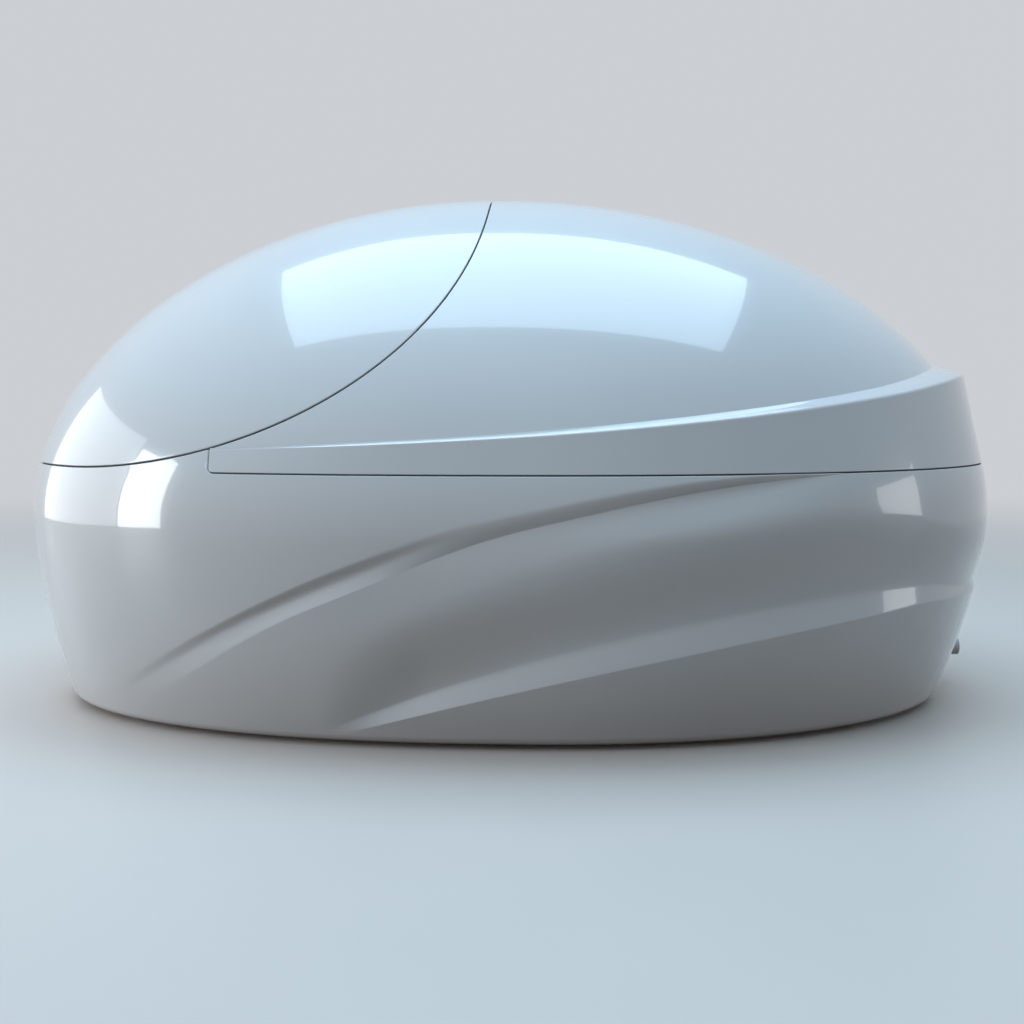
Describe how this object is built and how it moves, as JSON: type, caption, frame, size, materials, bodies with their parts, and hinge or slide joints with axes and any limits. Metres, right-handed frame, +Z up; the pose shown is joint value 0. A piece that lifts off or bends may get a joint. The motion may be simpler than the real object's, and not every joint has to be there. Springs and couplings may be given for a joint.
{
  "type": "flotation tank",
  "caption": "Egg-shaped flotation tank with a fluted tub, a collared canopy, a lifting front door on gooseneck arms and gas struts, and a fitted equipment bay.",
  "frame": {"origin": "on the floor under the middle of the pod's outline", "axes": "+Z up, +X from the foot end with the door to the head end, +Y across the pod"},
  "size_m": [2.56, 1.6004, 1.33],
  "materials": {
    "tub_gelcoat": "glossy white gelcoat",
    "canopy_gelcoat": "glossy white gelcoat",
    "door_gelcoat": "glossy white gelcoat",
    "pool_gelcoat": "smooth white gelcoat",
    "hatch_plastic": "white moulded cover",
    "insulation_foam": "cut foam board",
    "heating_mat": "dark red silicone mat",
    "chassis_steel": "grey powder coat",
    "foot_steel": "zinc-plated steel",
    "seal_rubber": "soft grey-black rubber",
    "bolt_steel": "stainless steel",
    "ceiling_lamp": "opal white",
    "vent_plastic": "white plastic",
    "hinge_steel": "stainless steel",
    "pin_steel": "ground stainless steel",
    "pump_plastic": "black glass-filled plastic",
    "motor_paint": "dark grey paint",
    "filter_plastic": "blue-grey plastic",
    "filter_lid_plastic": "black plastic",
    "heater_steel": "stainless steel",
    "steriliser_steel": "polished stainless steel",
    "control_box_plastic": "light grey enclosure",
    "fitting_plastic": "white fitting",
    "pipe_plastic": "white pipe",
    "valve_plastic": "grey valve body",
    "gland_plastic": "black nylon",
    "bezel_steel": "polished steel",
    "lamp_housing": "grey housing",
    "lamp_glass": "clear lens",
    "rail_steel": "polished stainless steel",
    "strut_paint": "black paint",
    "rod_chrome": "chromed rod",
    "light_button_plastic": "pale blue button",
    "call_button_plastic": "red button",
    "lever_paint": "red paint"
  },
  "bodies": {
    "tub": {"tub_casing": "tub_gelcoat", "pool_liner": "pool_gelcoat", "floor_insulation": "insulation_foam", "heater_mat": "heating_mat", "chassis_rails": "chassis_steel", "cross_members": "chassis_steel", "levelling_feet": "foot_steel", "canopy_shell": "canopy_gelcoat", "rim_seal": "seal_rubber", "door_seal": "seal_rubber", "canopy_bolts": "bolt_steel", "ceiling_light": "ceiling_lamp", "vent_grille": "vent_plastic", "hinge_bracket_left": "hinge_steel", "hinge_bracket_right": "hinge_steel", "hinge_pin_left": "pin_steel", "hinge_pin_right": "pin_steel", "strut_bracket_left": "hinge_steel", "strut_bracket_right": "hinge_steel", "service_hatch": "hatch_plastic", "equipment_rack": "chassis_steel", "circulation_pump": "pump_plastic", "pump_motor": "motor_paint", "filter_canister": "filter_plastic", "filter_lid": "filter_lid_plastic", "inline_heater": "heater_steel", "uv_steriliser": "steriliser_steel", "control_box": "control_box_plastic", "suction_fitting": "fitting_plastic", "return_jets": "fitting_plastic", "suction_pipe": "pipe_plastic", "pressure_pipe": "pipe_plastic", "heater_pipe": "pipe_plastic", "lamp_pipe": "pipe_plastic", "return_pipe": "pipe_plastic", "drain_fitting": "fitting_plastic", "drain_pipe": "pipe_plastic", "drain_valve": "valve_plastic", "drain_spigot": "fitting_plastic", "cable_gland": "gland_plastic", "button_bezels": "bezel_steel", "underwater_lights": "lamp_housing", "light_lenses": "lamp_glass", "entry_rails": "rail_steel"},
    "door": {"door_shell": "door_gelcoat", "door_handle": "rail_steel", "hinge_arm_left": "hinge_steel", "hinge_arm_right": "hinge_steel"},
    "strut_cylinder_left": {"strut_cylinder_left": "strut_paint"},
    "strut_cylinder_right": {"strut_cylinder_right": "strut_paint"},
    "strut_rod_left": {"strut_rod_left": "rod_chrome"},
    "strut_rod_right": {"strut_rod_right": "rod_chrome"},
    "light_button": {"light_button": "light_button_plastic"},
    "call_button": {"call_button": "call_button_plastic"},
    "drain_lever": {"drain_lever": "lever_paint"}
  },
  "joints": [
    {"name": "door_hinge", "type": "hinge", "parent": "tub", "child": "door", "pos_m": [0.2, 0, 1.242], "axis": [0, 1, 0], "range_deg": [0, 52]},
    {"name": "strut_pivot_left", "type": "hinge", "parent": "tub", "child": "strut_cylinder_left", "pos_m": [0.6, 0.181, 1.12], "axis": [0, 1, 0], "range_deg": [-0.8, 0]},
    {"name": "strut_extension_left", "type": "slide", "parent": "strut_cylinder_left", "child": "strut_rod_left", "axis": [-0.9941, 0, 0.1086], "range_m": [0, 0.0745]},
    {"name": "strut_pivot_right", "type": "hinge", "parent": "tub", "child": "strut_cylinder_right", "pos_m": [0.6, -0.181, 1.12], "axis": [0, 1, 0], "range_deg": [-0.8, 0]},
    {"name": "strut_extension_right", "type": "slide", "parent": "strut_cylinder_right", "child": "strut_rod_right", "axis": [-0.9941, 0, 0.1086], "range_m": [0, 0.0745]},
    {"name": "light_button_press", "type": "slide", "parent": "tub", "child": "light_button", "axis": [0, 0, -1], "range_m": [0, 0.004], "stiffness_N_per_m": 400},
    {"name": "call_button_press", "type": "slide", "parent": "tub", "child": "call_button", "axis": [0, 0, -1], "range_m": [0, 0.004], "stiffness_N_per_m": 400},
    {"name": "drain_valve_turn", "type": "hinge", "parent": "tub", "child": "drain_lever", "pos_m": [0.8, 0, 0.15], "axis": [0, 0, 1], "range_deg": [0, 90]}
  ],
  "couplings": [
    {"joint": "strut_pivot_left", "follows": "door_hinge", "ratio": -0.0137},
    {"joint": "strut_extension_left", "follows": "door_hinge", "m_per_rad": 0.081807},
    {"joint": "strut_pivot_right", "follows": "door_hinge", "ratio": -0.0137},
    {"joint": "strut_extension_right", "follows": "door_hinge", "m_per_rad": 0.081807}
  ]
}
